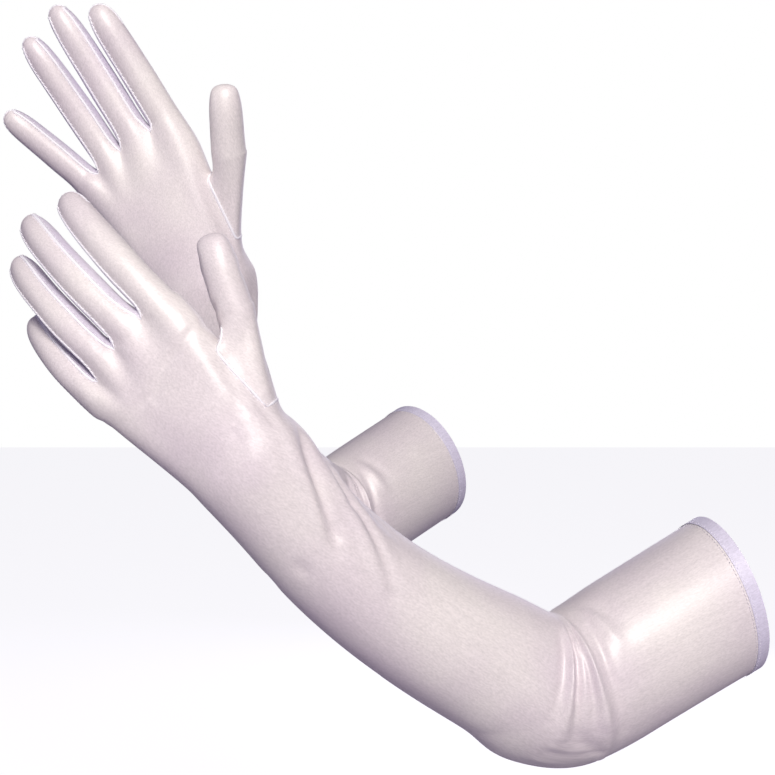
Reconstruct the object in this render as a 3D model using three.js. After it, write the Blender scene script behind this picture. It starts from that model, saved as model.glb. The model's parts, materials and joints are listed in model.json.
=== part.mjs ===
// A pair of opera gloves in stretch satin, shaped as they are worn: elbows bent, hands open.
//
// Each glove is one closed skin, described once by a coarse cage of quads: rings round the sleeve from the hem
// to the wrist, rows across the palm, and an eight-sided tube for each finger and the thumb. The cage is cut
// into the panels that a glove maker sews together, and each panel becomes a thin closed solid of its own.
//
// Units are millimetres and degrees. +Z is up, +X runs towards the arm openings and +Y away from the viewer's
// side. The origin is the centre of the left glove's arm opening.
import * as THREE from 'three';

// ---- Cloth ----------------------------------------------------------------------------------------------
const CLOTH = 0.5; // wall of a panel
const SEAM_GAP = 0.6; // clear line between two panels sewn side by side

// ---- Sleeve: half widths towards the thumb side (across) and the back of the hand (deep) -----------------
const HEM_WIDTH = 7;
const HEM_EXTRA = 0.6; // how much thicker the turned-up hem is
const ELBOW_RADIUS = 46; // bend of the sleeve's centre line
const SLEEVE = {
  opening: { across: 48, deep: 42 },
  aboveElbow: { across: 45.5, deep: 41 },
  elbow: { across: 44, deep: 41 },
  belowElbow: { across: 41, deep: 38 },
  midForearm: { across: 34.5, deep: 32 },
  overWrist: { across: 30, deep: 26.5 },
  wrist: { across: 31, deep: 24 },
};

// ---- Hand, measured from the wrist towards the fingers ----------------------------------------------------
const PALM_ROWS = [
  { along: 12, radial: 31.5, ulnar: 30.5, depth: 21.5, flat: 0.15 },
  { along: 32, radial: 34, ulnar: 32, depth: 19.5, flat: 0.4 },
  { along: 52, radial: 36.5, ulnar: 34, depth: 16.5, flat: 0.65 },
  { along: 66, radial: 38, ulnar: 35.5, depth: 14, flat: 0.85 },
];
const CROTCHES = [
  { along: 84, side: 38.5 }, // outer side of the index finger
  { along: 96, side: 18 },
  { along: 94, side: -3 },
  { along: 89, side: -21.5 },
  { along: 78, side: -37.5 }, // outer side of the little finger
];
const KNUCKLE_DEPTH = 10.5;
const GUSSET_SHARE = 0.62; // of the finger's depth that the strip between two fingers takes at the base

const FINGERS = {
  index: { length: 82, width: 9.8, depth: 9.2 },
  middle: { length: 88, width: 9.7, depth: 9.2 },
  ring: { length: 84, width: 9.3, depth: 8.8 },
  little: { length: 65, width: 8.3, depth: 8.0 },
};
const FINGER_NAMES = ['index', 'middle', 'ring', 'little'];
// Where a finger's rings stand on its length, and how its half width and half depth shrink there
const FINGER_RINGS = [
  { at: 0.13, width: 1.0, depth: 1.0, gusset: 42 },
  { at: 0.32, width: 1.0, depth: 1.0, gusset: 40 },
  { at: 0.5, width: 0.97, depth: 0.97, gusset: 38 },
  { at: 0.68, width: 0.93, depth: 0.93, gusset: 36 },
  { at: 0.84, width: 0.85, depth: 0.82, gusset: 33 },
  { at: 0.95, width: 0.62, depth: 0.52, gusset: 30 },
];
const FLEX_RINGS = 2; // rings in the soft zone that a finger bends in

const THUMB = { along: 46, side: 45.5, palmar: 4, splay: 27, length: 56, width: 10.2, depth: 9.8 };
const THUMB_RINGS = [
  { at: 0.19, width: 0.98, depth: 0.98 },
  { at: 0.28, width: 1.0, depth: 1.0 },
  { at: 0.55, width: 0.97, depth: 0.97 },
  { at: 0.78, width: 0.92, depth: 0.86 },
  { at: 0.94, width: 0.72, depth: 0.5 },
];

const THUMB_FLEX_RINGS = 3;
const THUMB_HINGE_RING = 1;

// ---- How each glove is held -------------------------------------------------------------------------------
// rise turns a direction from +X towards +Z, and depth turns it away towards +Y
const POSES = {
  left: {
    mirror: 1,
    opening: [0, 0, 0],
    hemSlant: 9,
    upper: { length: 125, rise: 208, depth: -13 },
    forearm: { length: 233, rise: 140, depth: -20, bow: 12 },
    hand: { rise: 135, depth: -6, roll: -10 },
    fingers: {
      index: { splay: -1, flex: [12, 9, 6] },
      middle: { splay: -4, flex: [15, 11, 8] },
      ring: { splay: -5.5, flex: [18, 13, 9] },
      little: { splay: -7, flex: [24, 15, 9] },
    },
    thumb: { lift: 4 },
  },
  right: {
    mirror: -1,
    opening: [-173, 236, 65.5],
    hemSlant: 0,
    upper: { length: 120, rise: 211, depth: -36 },
    forearm: { length: 237, rise: 108, depth: -40.3, bow: 24 },
    hand: { rise: 119.2, depth: -12.5, roll: -8 },
    fingers: {
      index: { splay: -1.5, flex: [2, 3, 2] },
      middle: { splay: -1.5, flex: [0, 4, 3] },
      ring: { splay: -3.5, flex: [1, 5, 3] },
      little: { splay: -19, flex: [3, 5, 3] },
    },
    thumb: { lift: 10 },
  },
};

// ---- Small vector helpers ----------------------------------------------------------------------------------
const radians = THREE.MathUtils.degToRad;
const lerp = THREE.MathUtils.lerp;

function direction({ rise, depth }) {
  const flat = Math.cos(radians(depth));
  return new THREE.Vector3(
    flat * Math.cos(radians(rise)),
    Math.sin(radians(depth)),
    flat * Math.sin(radians(rise)),
  );
}

/** The part of v at right angles to axis, at unit length. */
function squareTo(v, axis) {
  return v.clone().addScaledVector(axis, -v.dot(axis)).normalize();
}

/** origin + across * a + deep * b for a frame {origin, across, deep}. */
function pointIn(frame, a, b) {
  return frame.origin.clone().addScaledVector(frame.across, a).addScaledVector(frame.deep, b);
}

// ---- Ring layout ------------------------------------------------------------------------------------------
// Twenty points round the sleeve. D0 to D8 run over the back of the hand from the thumb side to the little
// finger's, then the ulnar point U, then Q8 to Q0 back over the palm, and the radial point R.
const RING = 20;
const ULNAR = 9;
const RADIAL = 19;
const dorsal = (i) => i;
const palmar = (i) => 18 - i;
/** Angle of ring point i, counted from the radial point. */
const ringAngle = (i) => radians(((i + 1) % RING) * (360 / RING));

/** An elliptical ring of points in a frame; slant leans it along the sleeve on the thumb side. */
function roundRing(frame, across, deep, slant) {
  return Array.from({ length: RING }, (_, i) => {
    const a = across * Math.cos(ringAngle(i));
    const b = deep * Math.sin(ringAngle(i));
    return pointIn(frame, a, b).addScaledVector(frame.axis, -a * Math.tan(radians(slant)));
  });
}

// ---- The skeleton that a pose gives -------------------------------------------------------------------------
function skeleton(pose) {
  const opening = new THREE.Vector3(...pose.opening);
  const upper = direction(pose.upper);
  const forearm = direction(pose.forearm);
  const corner = opening.clone().addScaledVector(upper, pose.upper.length);
  const wrist = corner.clone().addScaledVector(forearm, pose.forearm.length);

  const hand = direction(pose.hand);
  const upright = new THREE.Vector3(0, 0, 1);
  const level = squareTo(new THREE.Vector3(1, 0, 0), hand);
  const facing = new THREE.Vector3(0, -1, 0);
  let radial = squareTo(upright.clone().add(level), hand);
  radial = squareTo(radial.clone().addScaledVector(facing, -radial.dot(facing)), hand);
  radial.applyAxisAngle(hand, radians(pose.hand.roll));
  const back = radial.clone().cross(hand).multiplyScalar(pose.mirror);

  // The elbow: an arc that touches both straight stretches
  const hinge = upper.clone().cross(forearm).normalize();
  const bend = upper.angleTo(forearm);
  const reach = ELBOW_RADIUS * Math.tan(bend / 2);
  const start = corner.clone().addScaledVector(upper, -reach);
  const end = corner.clone().addScaledVector(forearm, reach);
  const crease = start.clone().addScaledVector(hinge.clone().cross(upper), ELBOW_RADIUS);
  return { opening, upper, forearm, wrist, hand, radial, back, hinge, bend, start, end, crease };
}

/** The sleeve's frames from the hem to the wrist, with their half widths and the stretch that each is in. */
function sleeveFrames(pose, bones) {
  const frames = [];
  const add = (origin, axis, across, size, stretch) => {
    const side = squareTo(across, axis);
    const deep = side.clone().cross(axis).multiplyScalar(pose.mirror);
    frames.push({ origin, axis, across: side, deep, size, stretch });
  };
  const sizeBetween = (a, b, t) => ({
    across: lerp(a.across, b.across, t),
    deep: lerp(a.deep, b.deep, t),
  });
  const inner = bones.hinge.clone().cross(bones.upper);
  const upperRun = bones.start.clone().sub(bones.opening);
  const shares = [0, HEM_WIDTH / upperRun.length(), 0.36, 0.62, 0.82];
  shares.forEach((t) => {
    const origin = bones.opening.clone().addScaledVector(upperRun, t);
    const stretch = t < 0.6 ? 'upper' : 'elbow';
    add(origin, bones.upper, inner, sizeBetween(SLEEVE.opening, SLEEVE.aboveElbow, t), stretch);
  });

  const arcSteps = 5;
  for (let i = 0; i <= arcSteps; i++) {
    const t = i / arcSteps;
    const turn = (v) => v.clone().applyAxisAngle(bones.hinge, bones.bend * t);
    const origin = bones.crease.clone().sub(turn(inner).multiplyScalar(ELBOW_RADIUS));
    const size = t < 0.5
      ? sizeBetween(SLEEVE.aboveElbow, SLEEVE.elbow, t * 2)
      : sizeBetween(SLEEVE.elbow, SLEEVE.belowElbow, t * 2 - 1);
    add(origin, turn(bones.upper), turn(inner), size, 'elbow');
  }

  const run = bones.wrist.clone().sub(bones.end);
  const outward = bones.hinge.clone().cross(bones.forearm).multiplyScalar(-1);
  const bowed = (t) => bones.end.clone()
    .addScaledVector(run, t)
    .addScaledVector(outward, pose.forearm.bow * Math.sin(Math.PI * t));
  const steps = [0.1, 0.22, 0.37, 0.52, 0.67, 0.8, 0.9, 1];
  steps.forEach((t) => {
    const axis = bowed(Math.min(t + 0.02, 1)).sub(bowed(t - 0.02)).normalize();
    if (t > 0.85) axis.lerp(bones.hand, t > 0.95 ? 0.5 : 0.2).normalize();
    const across = outward.clone().multiplyScalar(-1).lerp(bones.radial, t * t * (3 - 2 * t));
    let size;
    if (t < 0.45) size = sizeBetween(SLEEVE.belowElbow, SLEEVE.midForearm, t / 0.45);
    else if (t < 0.85) size = sizeBetween(SLEEVE.midForearm, SLEEVE.overWrist, (t - 0.45) / 0.4);
    else size = sizeBetween(SLEEVE.overWrist, SLEEVE.wrist, (t - 0.85) / 0.15);
    const stretch = t < 0.2 ? 'elbow' : t < 0.79 ? 'forearm' : 'wrist';
    add(bowed(t), axis, across, size, stretch);
  });
  return frames;
}

// ---- The cage -----------------------------------------------------------------------------------------------
class Cage {
  constructor() {
    this.points = [];
    this.quads = [];
  }

  point(v) {
    this.points.push(v);
    return this.points.length - 1;
  }

  loop(vectors) {
    return vectors.map((v) => this.point(v));
  }

  quad(a, b, c, d, panel) {
    this.quads.push({ corners: [a, b, c, d], panel });
  }

  /** Quads between two loops of the same length; panelOf names the panel of the strip after point i. */
  bridge(lower, upper, panelOf) {
    lower.forEach((_, i) => {
      const j = (i + 1) % lower.length;
      const panel = panelOf(i);
      if (panel) this.quad(lower[i], lower[j], upper[j], upper[i], panel);
    });
  }

  /** Turns every quad round, for a cage that is the mirror image. */
  flip() {
    this.quads.forEach((q) => q.corners.reverse());
  }

  /** One unit normal for each point, averaged over its quads. */
  normals() {
    const sums = this.points.map(() => new THREE.Vector3());
    for (const { corners } of this.quads) {
      const [a, b, c, d] = corners.map((i) => this.points[i]);
      const n = c.clone().sub(a).cross(d.clone().sub(b));
      corners.forEach((i) => sums[i].add(n));
    }
    return sums.map((n) => n.normalize());
  }
}

/** A row across the palm: an ellipse that flattens towards the fingers. */
function palmRow(bones, row) {
  const frame = {
    origin: bones.wrist.clone().addScaledVector(bones.hand, row.along),
    across: bones.radial,
    deep: bones.back,
  };
  return Array.from({ length: RING }, (_, i) => {
    const angle = ringAngle(i);
    const half = Math.cos(angle) > 0 ? row.radial : row.ulnar;
    const round = { a: half * Math.cos(angle), b: row.depth * Math.sin(angle) };
    if (i === RADIAL || i === ULNAR) return pointIn(frame, round.a, round.b);
    const column = i < ULNAR ? i : 18 - i;
    const level = lerp(row.radial * 0.93, -row.ulnar * 0.93, column / 8);
    const slab = row.depth * (column === 0 || column === 8 ? 0.62 : 0.95) * Math.sign(round.b);
    return pointIn(frame, lerp(round.a, level, row.flat), lerp(round.b, slab, row.flat));
  });
}

/** The last row of the palm, where it meets the fingers, and the webs between them. */
function crotchRow(bones) {
  const frame = (along) => ({
    origin: bones.wrist.clone().addScaledVector(bones.hand, along),
    across: bones.radial,
    deep: bones.back,
  });
  const at = (along, side, depth) => pointIn(frame(along), side, depth);
  const ring = new Array(RING);
  for (let column = 0; column <= 8; column++) {
    const k = column / 2;
    const onEdge = Number.isInteger(k);
    const from = CROTCHES[Math.floor(k)];
    const to = CROTCHES[Math.ceil(k)];
    const side = (from.side + to.side) / 2 * (column === 0 ? 0.96 : column === 8 ? 0.96 : 1);
    const along = (from.along + to.along) / 2 - (onEdge ? 5 : 0);
    const depth = onEdge ? KNUCKLE_DEPTH * GUSSET_SHARE : KNUCKLE_DEPTH;
    ring[dorsal(column)] = at(along - 2, side, depth);
    ring[palmar(column)] = at(along + 1, side, -depth);
  }
  ring[RADIAL] = at(CROTCHES[0].along - 4, CROTCHES[0].side + 0.6, 0);
  ring[ULNAR] = at(CROTCHES[4].along - 4, CROTCHES[4].side - 0.6, 0);
  const webs = [1, 2, 3].map((k) => at(CROTCHES[k].along, CROTCHES[k].side, 0));
  return { ring, webs };
}

/** The centres and frames of a finger's rings, bent at three knuckles. */
function fingerFrames(bones, finger, held, base, mirror) {
  const frames = [];
  let axis = bones.hand.clone().applyAxisAngle(bones.back, radians(held.splay) * -mirror);
  const across = squareTo(bones.radial, axis);
  let deep = bones.back.clone();
  const bendAxis = across.clone().multiplyScalar(-mirror);
  const knuckles = [0.08, 0.42, 0.7];
  let origin = base.clone();
  let walked = 0;
  let turned = 0;
  FINGER_RINGS.forEach((ring) => {
    const steps = 4;
    for (let i = 1; i <= steps; i++) {
      const at = walked + ((ring.at - walked) * i) / steps;
      let flex = 0;
      knuckles.forEach((k, n) => {
        flex += held.flex[n] * THREE.MathUtils.smoothstep(at, k - 0.09, k + 0.09);
      });
      const turn = radians(flex - turned);
      axis = axis.clone().applyAxisAngle(bendAxis, turn);
      deep = deep.clone().applyAxisAngle(bendAxis, turn);
      turned = flex;
      origin = origin.clone().addScaledVector(axis, (finger.length * (ring.at - walked)) / steps);
    }
    walked = ring.at;
    frames.push({ origin, axis, across, deep, ring });
  });
  const tip = origin.clone().addScaledVector(axis, finger.length * (1 - walked));
  return { frames, tip };
}

/** Eight points round a finger: the strips between the fingers lie within gusset degrees of its sides. */
function fingerRing(frame, width, depth, gusset) {
  const angles = [gusset, 90, 180 - gusset, 180, 180 + gusset, 270, 360 - gusset, 0];
  return angles.map((angle) =>
    pointIn(frame, width * Math.cos(radians(angle)), depth * Math.sin(radians(angle))));
}

/** Closes an eight-sided tube with four quads round a tip point. */
function cap(cage, loop, tip, panelOf) {
  [7, 1, 3, 5].forEach((from) => {
    const a = loop[from];
    const b = loop[(from + 1) % 8];
    const c = loop[(from + 2) % 8];
    cage.quad(a, b, c, tip, panelOf((from + 1) % 8));
  });
}

function addFinger(cage, bones, pose, name, k, row, webs, hinges) {
  const finger = FINGERS[name];
  const radialSide = k === 0 ? row[RADIAL] : webs[k - 1];
  const ulnarSide = k === 3 ? row[ULNAR] : webs[k];
  const base = [
    row[dorsal(2 * k)], row[dorsal(2 * k + 1)], row[dorsal(2 * k + 2)], ulnarSide,
    row[palmar(2 * k + 2)], row[palmar(2 * k + 1)], row[palmar(2 * k)], radialSide,
  ];
  const from = CROTCHES[k];
  const to = CROTCHES[k + 1];
  const origin = bones.wrist.clone()
    .addScaledVector(bones.hand, (from.along + to.along) / 2 - 3)
    .addScaledVector(bones.radial, (from.side + to.side) / 2);
  const { frames, tip } = fingerFrames(bones, finger, pose.fingers[name], origin, pose.mirror);

  const outer = { index: 'radial', little: 'ulnar' }[name];
  const panelOf = (i) => {
    if (i === 2 || i === 3) {
      return outer === 'ulnar' ? (i === 2 ? `${name}_back` : `${name}_palm`) : `${name}_ulnar_fourchette`;
    }
    if (i === 6 || i === 7) {
      return outer === 'radial' ? (i === 7 ? `${name}_back` : `${name}_palm`) : `${name}_radial_fourchette`;
    }
    return i < 2 ? `${name}_back` : `${name}_palm`;
  };
  let lower = base;
  frames.forEach((frame, n) => {
    const { width, depth, gusset } = frame.ring;
    const upper = cage.loop(fingerRing(frame, finger.width * width, finger.depth * depth, gusset));
    cage.bridge(lower, upper, n < FLEX_RINGS ? () => 'finger_crotches' : panelOf);
    lower = upper;
  });
  cap(cage, lower, cage.point(tip), (corner) => (corner === 0 || corner === 2 ? `${name}_back` : `${name}_palm`));
  hinges[name] = {
    at: frames[0].origin.clone().lerp(frames[1].origin, 0.35),
    axis: frames[0].across.clone().multiplyScalar(-pose.mirror),
  };
}

function addThumb(cage, bones, pose, loop, hinges) {
  const hand = bones.hand;
  const axis = hand.clone().applyAxisAngle(bones.back, radians(THUMB.splay) * -pose.mirror)
    .addScaledVector(bones.back, -Math.sin(radians(pose.thumb.lift))).normalize();
  const across = squareTo(bones.radial, axis);
  const deep = squareTo(bones.back, axis);
  const root = bones.wrist.clone()
    .addScaledVector(hand, THUMB.along)
    .addScaledVector(bones.radial, THUMB.side)
    .addScaledVector(bones.back, -THUMB.palmar);
  let lower = loop;
  let hinge;
  THUMB_RINGS.forEach((ring, n) => {
    const origin = root.clone().addScaledVector(axis, THUMB.length * ring.at);
    const frame = { origin, across, deep };
    const angles = [180, 225, 270, 315, 0, 45, 90, 135];
    const upper = cage.loop(angles.map((angle) => pointIn(
      frame,
      THUMB.width * ring.width * Math.cos(radians(angle)),
      THUMB.depth * ring.depth * Math.sin(radians(angle)),
    )));
    cage.bridge(lower, upper, () => (n < THUMB_FLEX_RINGS ? 'thumb_base' : 'thumb'));
    lower = upper;
    if (n === THUMB_HINGE_RING) hinge = origin;
  });
  const tip = root.clone().addScaledVector(axis, THUMB.length);
  cap(cage, lower, cage.point(tip), () => 'thumb');
  hinges.thumb = { at: hinge, axis: across.clone().multiplyScalar(-pose.mirror) };
}

/** The whole skin of one glove as a cage, and the hinge lines that it bends on. */
function gloveCage(pose) {
  const cage = new Cage();
  const bones = skeleton(pose);
  const frames = sleeveFrames(pose, bones);
  const slants = [1, 1, 0.6, 0.25].map((share) => share * pose.hemSlant);
  const rings = frames.map((f, i) => cage.loop(roundRing(f, f.size.across, f.size.deep, slants[i] ?? 0)));
  const onBack = (i) => i < ULNAR || i === RADIAL;
  for (let i = 0; i + 1 < rings.length; i++) {
    const { stretch } = frames[i];
    const whole = i === 0 ? 'hem' : { elbow: 'elbow_fold', wrist: 'wrist_fold' }[stretch];
    cage.bridge(rings[i], rings[i + 1], (j) => whole ?? `${stretch}_${onBack(j) ? 'back' : 'palm'}`);
  }

  const rows = PALM_ROWS.map((row) => cage.loop(palmRow(bones, row)));
  const last = crotchRow(bones);
  rows.push(cage.loop(last.ring));
  const webs = cage.loop(last.webs);
  const onThumbSide = (i) => i === RADIAL || i === RADIAL - 1;
  let lower = rings[rings.length - 1];
  rows.forEach((row, n) => {
    cage.bridge(lower, row, (i) => {
      if (n === 0) return 'wrist_fold';
      if (n === rows.length - 1) return 'finger_crotches';
      if (onThumbSide(i)) return n < 3 ? null : 'thumb_base'; // rows 0 to 2 leave the hole for the thumb
      return onBack(i) ? 'hand_back' : 'hand_palm';
    });
    lower = row;
  });

  const hinges = {
    elbow: { at: bones.start.clone().lerp(bones.end, 0.5), axis: bones.hinge },
    wrist: { at: bones.wrist, axis: bones.radial.clone().multiplyScalar(-pose.mirror) },
  };
  const [a, b, c] = rows;
  const D0 = dorsal(0);
  const Q0 = palmar(0);
  const hole = [c[RADIAL], c[Q0], b[Q0], a[Q0], a[RADIAL], a[D0], b[D0], c[D0]];
  addThumb(cage, bones, pose, hole, hinges);
  FINGER_NAMES.forEach((name, k) => addFinger(cage, bones, pose, name, k, lower, webs, hinges));
  if (pose.mirror > 0) cage.flip();

  // The arm opening is cut flat: its rim stays in one plane through the wall
  const { axis, across, deep } = frames[0];
  const lean = across.clone().addScaledVector(axis, -Math.tan(radians(pose.hemSlant)));
  const opening = { rim: new Set(rings[0]), facing: lean.cross(deep).multiplyScalar(-pose.mirror).normalize() };
  return { cage, hinges, opening };
}

// ---- From a panel of the cage to a thin closed solid --------------------------------------------------------
function panelGeometry({ cage, opening }, normals, panel, thickness) {
  const quads = cage.quads.filter((q) => q.panel === panel).map((q) => q.corners);
  const edges = new Map();
  quads.forEach((q) => q.forEach((a, i) => {
    const b = q[(i + 1) % 4];
    if (edges.has(`${b},${a}`)) edges.delete(`${b},${a}`);
    else edges.set(`${a},${b}`, { a, b, quad: q });
  }));
  const border = [...edges.values()];

  // Border points step back from the seam, so that two neighbours never touch
  const inward = new Map();
  border.forEach(({ a, b, quad }) => {
    const along = cage.points[b].clone().sub(cage.points[a]).normalize();
    const middle = quad.reduce((s, i) => s.add(cage.points[i]), new THREE.Vector3()).multiplyScalar(0.25);
    const in1 = squareTo(middle.clone().sub(cage.points[a]), along);
    [a, b].forEach((i) => {
      if (!inward.has(i)) inward.set(i, []);
      inward.get(i).push(in1);
    });
  });
  const stepBack = (i) => {
    const sum = inward.get(i).reduce((s, v) => s.add(v), new THREE.Vector3());
    const share = inward.get(i).reduce((least, v) => Math.min(least, v.dot(sum)), Infinity);
    return sum.multiplyScalar(SEAM_GAP / 2 / Math.max(share, 0.5 * sum.lengthSq()));
  };
  const outer = new Map();
  const inner = new Map();
  const positions = [];
  const put = (v) => {
    positions.push(v.x, v.y, v.z);
    return positions.length / 3 - 1;
  };
  new Set(quads.flat()).forEach((i) => {
    const p = cage.points[i].clone();
    const onRim = opening.rim.has(i);
    if (inward.has(i) && !onRim) p.add(stepBack(i));
    const through = onRim ? squareTo(normals[i], opening.facing) : normals[i];
    outer.set(i, put(p));
    inner.set(i, put(p.clone().addScaledVector(through, -thickness)));
  });

  const triangles = [];
  const face = (a, b, c, d) => triangles.push(a, b, c, a, c, d);
  quads.forEach(([a, b, c, d]) => {
    face(outer.get(a), outer.get(b), outer.get(c), outer.get(d));
    face(inner.get(a), inner.get(d), inner.get(c), inner.get(b));
  });
  border.forEach(({ a, b }) => face(outer.get(a), inner.get(a), inner.get(b), outer.get(b)));
  const geometry = new THREE.BufferGeometry();
  geometry.setAttribute('position', new THREE.Float32BufferAttribute(positions, 3));
  geometry.setIndex(triangles);
  geometry.computeVertexNormals();
  return geometry;
}

// ---- Materials ----------------------------------------------------------------------------------------------
const satin = new THREE.MeshStandardMaterial({ color: 0xe6dde6, roughness: 0.34, metalness: 0 });
const fourchetteSatin = new THREE.MeshStandardMaterial({ color: 0xddd2e2, roughness: 0.38, metalness: 0 });
const hemSatin = new THREE.MeshStandardMaterial({ color: 0xeeebf6, roughness: 0.4, metalness: 0 });

function materialOf(panel) {
  if (panel === 'hem') return hemSatin;
  return panel.endsWith('fourchette') ? fourchetteSatin : satin;
}

// ---- The pair -----------------------------------------------------------------------------------------------
const pair = new THREE.Group();
pair.userData = { hinges: {}, openings: {} };
for (const [side, pose] of Object.entries(POSES)) {
  const skin = gloveCage(pose);
  const { cage, hinges, opening } = skin;
  const normals = cage.normals();
  const glove = new THREE.Group();
  for (const panel of new Set(cage.quads.map((q) => q.panel))) {
    const thickness = panel === 'hem' ? CLOTH + HEM_EXTRA : CLOTH;
    const mesh = new THREE.Mesh(panelGeometry(skin, normals, panel, thickness), materialOf(panel));
    mesh.name = `${side}_${panel}`;
    glove.add(mesh);
  }
  pair.userData.hinges[side] = hinges;
  pair.userData.openings[side] = opening.facing;
  pair.add(glove);
}

export default pair;
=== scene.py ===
"""A pair of opera gloves in stretch satin, with the cloth, seams, stitches and folds that the frame lacks.

The frame's panels are thin flat-sided solids. Their outer faces are sewn back into one skin for each glove,
smoothed by subdivision, creased where the arms bend, and cut again along the seams into panels of real cloth.
Everything is in metres, in the frame's own place: +Z is up, +X is towards the arm openings and +Y is away
from the viewer. Values in millimetres are turned into metres by MM.
"""

import json
import logging
import math
from dataclasses import dataclass, field
from enum import Enum

import bmesh
import bpy
import numpy as np
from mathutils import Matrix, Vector, noise

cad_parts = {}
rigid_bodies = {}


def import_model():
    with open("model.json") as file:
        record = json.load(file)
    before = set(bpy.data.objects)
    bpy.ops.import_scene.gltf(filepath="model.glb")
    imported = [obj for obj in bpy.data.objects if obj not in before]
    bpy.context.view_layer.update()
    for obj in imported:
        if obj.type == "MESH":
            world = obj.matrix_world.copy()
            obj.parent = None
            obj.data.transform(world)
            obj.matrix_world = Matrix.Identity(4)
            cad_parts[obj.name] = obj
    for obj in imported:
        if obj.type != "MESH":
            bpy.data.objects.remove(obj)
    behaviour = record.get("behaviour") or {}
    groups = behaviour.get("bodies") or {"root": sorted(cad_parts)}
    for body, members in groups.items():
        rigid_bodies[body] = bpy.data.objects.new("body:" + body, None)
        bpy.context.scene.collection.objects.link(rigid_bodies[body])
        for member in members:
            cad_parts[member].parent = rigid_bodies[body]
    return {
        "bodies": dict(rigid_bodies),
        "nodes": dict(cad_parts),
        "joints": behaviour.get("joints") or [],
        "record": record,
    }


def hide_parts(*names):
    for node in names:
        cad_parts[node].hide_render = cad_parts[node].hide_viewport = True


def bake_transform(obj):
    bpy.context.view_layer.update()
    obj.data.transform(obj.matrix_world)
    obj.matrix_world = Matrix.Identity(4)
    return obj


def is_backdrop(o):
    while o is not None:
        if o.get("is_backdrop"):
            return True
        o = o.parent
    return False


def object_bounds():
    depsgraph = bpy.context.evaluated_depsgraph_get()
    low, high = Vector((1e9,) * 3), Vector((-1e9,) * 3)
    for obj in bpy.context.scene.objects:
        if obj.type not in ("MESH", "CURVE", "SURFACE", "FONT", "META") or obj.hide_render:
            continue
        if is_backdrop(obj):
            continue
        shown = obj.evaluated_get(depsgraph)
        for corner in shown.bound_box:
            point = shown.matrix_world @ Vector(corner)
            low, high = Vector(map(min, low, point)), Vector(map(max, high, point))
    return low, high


LOG = logging.getLogger("opera_gloves")
MM = 0.001

FINGERS = ("index", "middle", "ring", "little")


class Side(Enum):
    """Which hand a glove is for."""

    LEFT = "left"
    RIGHT = "right"


class Region(Enum):
    """The stretches of a glove that each move with one joint."""

    SLEEVE = "sleeve"
    HAND = "hand"
    THUMB = "thumb"
    INDEX = "index"
    MIDDLE = "middle"
    RING = "ring"
    LITTLE = "little"


# ---- Nodes and materials -------------------------------------------------------------------------


def linear(hex_colour: str) -> tuple[float, float, float, float]:
    """Turns an sRGB hex colour into a linear one.

    Args:
        hex_colour: Six hex digits, such as "e8dfe9".

    Returns:
        Red, green, blue and an alpha of one.
    """
    parts = [int(hex_colour[i : i + 2], 16) / 255 for i in (0, 2, 4)]
    bent = [c / 12.92 if c <= 0.04045 else ((c + 0.055) / 1.055) ** 2.4 for c in parts]
    return (*bent, 1.0)


def add_node(
    tree: bpy.types.NodeTree, kind: str, settings: dict | None = None, **inputs: object
) -> bpy.types.Node:
    """Adds a shader node with its settings, values and links.

    Args:
        tree: The node tree that gets the node.
        kind: The node's type, such as "ShaderNodeTexNoise".
        settings: Properties of the node by name.
        **inputs: A value or an output socket for each input. Underscores in a name stand for spaces, and
            i0, i1 and so on stand for the inputs by number.

    Returns:
        The new node.
    """
    node = tree.nodes.new(kind)
    for name, value in (settings or {}).items():
        setattr(node, name, value)
    for name, value in inputs.items():
        number = name.removeprefix("i")
        socket = node.inputs[int(number) if number.isdigit() else name.replace("_", " ")]
        if isinstance(value, bpy.types.NodeSocket):
            tree.links.new(value, socket)
        else:
            socket.default_value = value
    return node


# Usual spread of a noise's values, as the inputs of a Map Range node.
NOISE_SPREAD = {"From_Min": 0.3, "From_Max": 0.7}


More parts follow.
